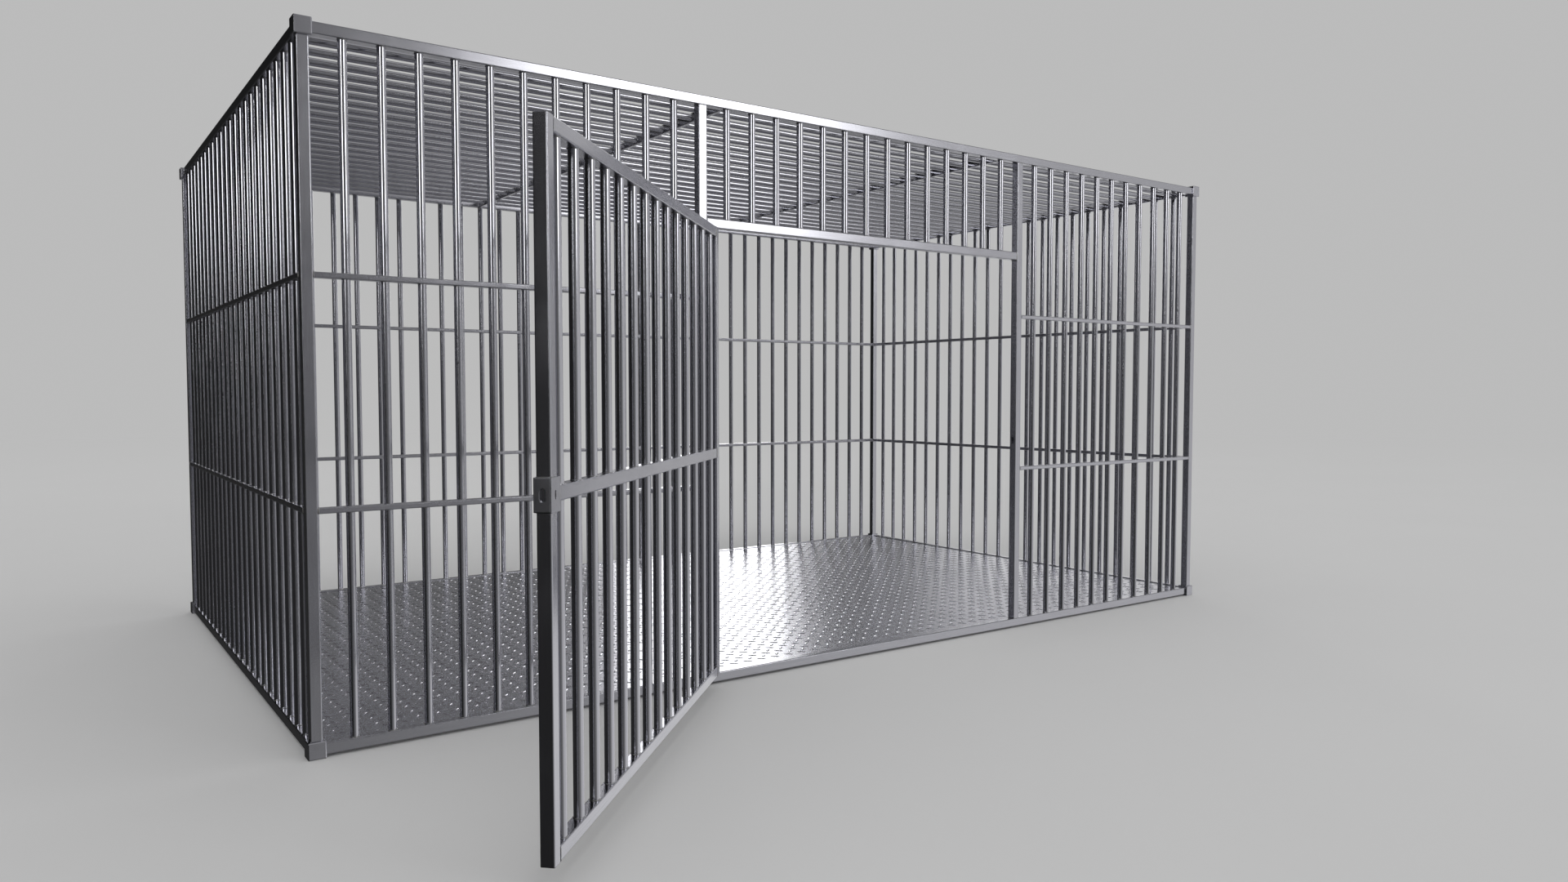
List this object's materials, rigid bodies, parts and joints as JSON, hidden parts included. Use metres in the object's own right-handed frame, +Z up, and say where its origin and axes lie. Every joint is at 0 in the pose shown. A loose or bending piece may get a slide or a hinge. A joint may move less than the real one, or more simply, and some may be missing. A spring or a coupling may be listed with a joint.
{
  "type": "kennel cage",
  "caption": "Walk-in kennel cage of square steel tube with round bars on the sides and roof, a tread plate floor, and a barred, lockable hinged door.",
  "frame": {"origin": "centre of the cage's plan, on the ground, at the underside of the middle floor foot", "axes": "+Z up; the long front with the door faces -Y; +X is to the right as seen from the front. The door is stored open by 135 degrees"},
  "size_m": [5.1, 4.4102, 2.5],
  "materials": {
    "frame_steel": "satin",
    "sleeve_steel": "satin",
    "flat_rail_steel": "polished",
    "bar_steel": "polished",
    "tread_plate": "satin, raised lugs",
    "lock_case_steel": "satin",
    "hinge_steel": "satin",
    "pin_steel": "bright",
    "lock_works_steel": "dark oiled",
    "foot_rubber": "matt"
  },
  "bodies": {
    "cage": {"post_front_left": "frame_steel", "post_front_right": "frame_steel", "post_back_left": "frame_steel", "post_back_right": "frame_steel", "sleeve_bottom_front_left": "sleeve_steel", "sleeve_bottom_front_right": "sleeve_steel", "sleeve_bottom_back_left": "sleeve_steel", "sleeve_bottom_back_right": "sleeve_steel", "sleeve_top_front_left": "sleeve_steel", "sleeve_top_front_right": "sleeve_steel", "sleeve_top_back_left": "sleeve_steel", "sleeve_top_back_right": "sleeve_steel", "bottom_rail_front": "frame_steel", "bottom_rail_back": "frame_steel", "bottom_rail_left": "frame_steel", "bottom_rail_right": "frame_steel", "top_rail_front": "frame_steel", "top_rail_back": "frame_steel", "top_rail_left": "frame_steel", "top_rail_right": "frame_steel", "low_rail_left": "flat_rail_steel", "low_rail_right": "flat_rail_steel", "low_rail_back": "flat_rail_steel", "low_rail_left_bay": "flat_rail_steel", "low_rail_right_bay": "flat_rail_steel", "high_rail_left": "flat_rail_steel", "high_rail_right": "flat_rail_steel", "high_rail_back": "flat_rail_steel", "high_rail_left_bay": "flat_rail_steel", "high_rail_right_bay": "flat_rail_steel", "hinge_jamb": "frame_steel", "latch_jamb": "frame_steel", "transom": "frame_steel", "roof_rail_left": "flat_rail_steel", "roof_rail_right": "flat_rail_steel", "bars_left": "bar_steel", "bars_right": "bar_steel", "bars_back": "bar_steel", "bars_left_bay": "bar_steel", "bars_right_bay": "bar_steel", "bars_over_door": "bar_steel", "bars_roof": "bar_steel", "floor_plate": "tread_plate", "floor_joists": "frame_steel", "joist_feet": "foot_rubber", "hinge_jamb_knuckles": "hinge_steel", "hinge_pins": "pin_steel"},
    "door": {"hinge_door_knuckles": "hinge_steel", "door_hinge_stile": "frame_steel", "door_latch_stile_upper": "frame_steel", "door_latch_stile_lower": "frame_steel", "door_top_rail": "frame_steel", "door_bottom_rail": "frame_steel", "door_mid_rail": "frame_steel", "door_bars": "bar_steel", "lock_case": "lock_case_steel", "lock_cover": "lock_case_steel"},
    "bolt": {"lock_bolt": "pin_steel"},
    "key_barrel": {"key_barrel": "lock_works_steel", "lock_cam": "lock_works_steel"}
  },
  "joints": [
    {"name": "door_swing", "type": "hinge", "parent": "cage", "child": "door", "pos_m": [-0.95323, -1.515, 1], "axis": [0, 0, 1], "range_deg": [-35, 135]},
    {"name": "key_turn", "type": "hinge", "parent": "door", "child": "key_barrel", "pos_m": [-2.25463, -2.85883, 1], "axis": [0.7071, -0.7071, 0], "range_deg": [0, 90]},
    {"name": "bolt_slide", "type": "slide", "parent": "door", "child": "bolt", "axis": [-0.7071, -0.7071, 0], "range_m": [0, 0.025]}
  ],
  "couplings": [
    {"joint": "key_turn", "follows": "bolt_slide", "rad_per_m": 62.8}
  ]
}
